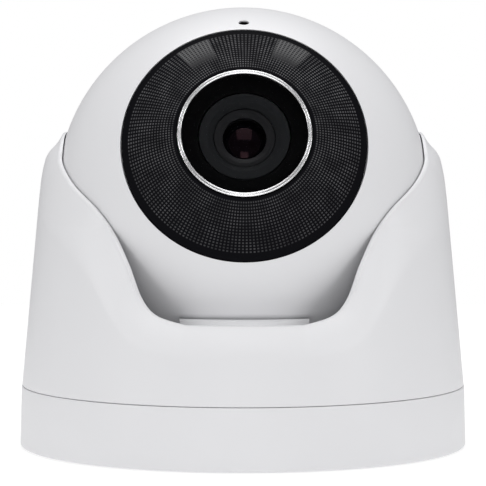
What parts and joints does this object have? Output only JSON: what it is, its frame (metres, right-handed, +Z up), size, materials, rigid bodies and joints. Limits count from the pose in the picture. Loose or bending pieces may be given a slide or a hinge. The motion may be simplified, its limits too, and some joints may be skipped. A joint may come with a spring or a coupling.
{
  "type": "dome cctv camera",
  "caption": "Standing dome security camera: a turning cover cradles a tilting eyeball with a ribbed black infrared diffuser round a flat lens window.",
  "frame": {"origin": "centre of the base's flat underside, on the pan axis", "axes": "+Z up along the pan axis, the lens faces -Y at rest, +X to the viewer's right of a camera seen from its front"},
  "size_m": [0.11, 0.11, 0.1075],
  "materials": {
    "white_shell": "fine-textured white moulded shell",
    "inner_plastic": "light grey moulded plastic",
    "black_plastic": "matt black moulded plastic",
    "smoked_diffuser": "smoked black plastic with fine radial and ring-shaped micro ribs",
    "bright_chrome": "bright chrome plating",
    "window_glass": "flat smoked window, black printed edge",
    "lens_glass": "coated lens glass",
    "filter_glass": "coated flat glass",
    "anodised_black": "black anodised aluminium",
    "spring_steel": "spring steel",
    "zinc_steel": "zinc plated steel",
    "aluminium": "machined aluminium",
    "board_green": "green solder mask on glass fibre board",
    "chip_black": "moulded black package",
    "led_yellow": "yellow phosphor under clear resin",
    "black_rubber": "soft black rubber",
    "slip_acetal": "natural acetal"
  },
  "bodies": {
    "base": {"mounting_base": "white_shell", "conduit_plug": "white_shell", "pan_lock_screw": "zinc_steel", "pan_slip_ring": "slip_acetal", "pan_wave_spring": "spring_steel", "pan_retaining_ring": "spring_steel"},
    "turret": {"body_cover": "white_shell", "turret_chassis": "inner_plastic", "ball_collar": "white_shell", "tilt_pin_left": "zinc_steel", "tilt_pin_right": "zinc_steel", "chassis_screw_1": "zinc_steel", "chassis_screw_2": "zinc_steel", "chassis_screw_3": "zinc_steel", "chassis_screw_4": "zinc_steel"},
    "cradle": {"tilt_yoke": "zinc_steel", "yoke_bush_left": "slip_acetal", "yoke_bush_right": "slip_acetal", "roll_washer": "slip_acetal"},
    "eyeball": {"ball_front_shell": "white_shell", "ball_rear_shell": "white_shell", "ball_seal": "black_rubber", "ball_screw_1": "zinc_steel", "ball_screw_2": "zinc_steel", "ball_screw_3": "zinc_steel", "ball_screw_4": "zinc_steel", "service_door": "white_shell", "service_door_seal": "black_rubber", "service_door_screw_1": "zinc_steel", "service_door_screw_2": "zinc_steel", "roll_nut": "zinc_steel", "cable_gland": "black_rubber", "diffuser_ring": "smoked_diffuser", "lens_ring": "bright_chrome", "window_glass": "window_glass", "window_gasket": "black_rubber", "light_shield": "black_plastic", "lens_barrel": "anodised_black", "lens_retainer": "anodised_black", "lens_front_element": "lens_glass", "lens_rear_element": "lens_glass", "lens_holder": "black_plastic", "filter_housing": "black_plastic", "image_sensor": "chip_black", "sensor_board": "board_green", "led_board": "board_green", "led_left": "led_yellow", "led_right": "led_yellow", "inner_frame": "black_plastic", "heat_spreader": "aluminium", "processor_chip": "chip_black", "main_board": "board_green", "card_socket": "zinc_steel", "reset_switch": "chip_black", "mic_gasket": "black_rubber", "mic_capsule": "zinc_steel"},
    "ir_filter": {"filter_shuttle": "black_plastic", "ir_cut_glass": "filter_glass", "clear_glass": "filter_glass"},
    "reset_plunger": {"reset_button": "slip_acetal"}
  },
  "joints": [
    {"name": "pan", "type": "hinge", "parent": "base", "child": "turret", "pos_m": [0, 0, 0], "axis": [0, 0, 1], "range_deg": [-180, 180]},
    {"name": "tilt", "type": "hinge", "parent": "turret", "child": "cradle", "pos_m": [0, 0, 0.06175], "axis": [-1, 0, 0], "range_deg": [-21, 54]},
    {"name": "roll", "type": "hinge", "parent": "cradle", "child": "eyeball", "pos_m": [0, 0, 0.06175], "axis": [0, -0.9336, 0.3584], "range_deg": [-180, 180]},
    {"name": "filter_slide", "type": "slide", "parent": "eyeball", "child": "ir_filter", "axis": [-1, 0, 0], "range_m": [0, 0.0082]},
    {"name": "reset_press", "type": "slide", "parent": "eyeball", "child": "reset_plunger", "axis": [0, 0.3584, 0.9336], "range_m": [0, 0.0004], "stiffness_N_per_m": 1500}
  ]
}
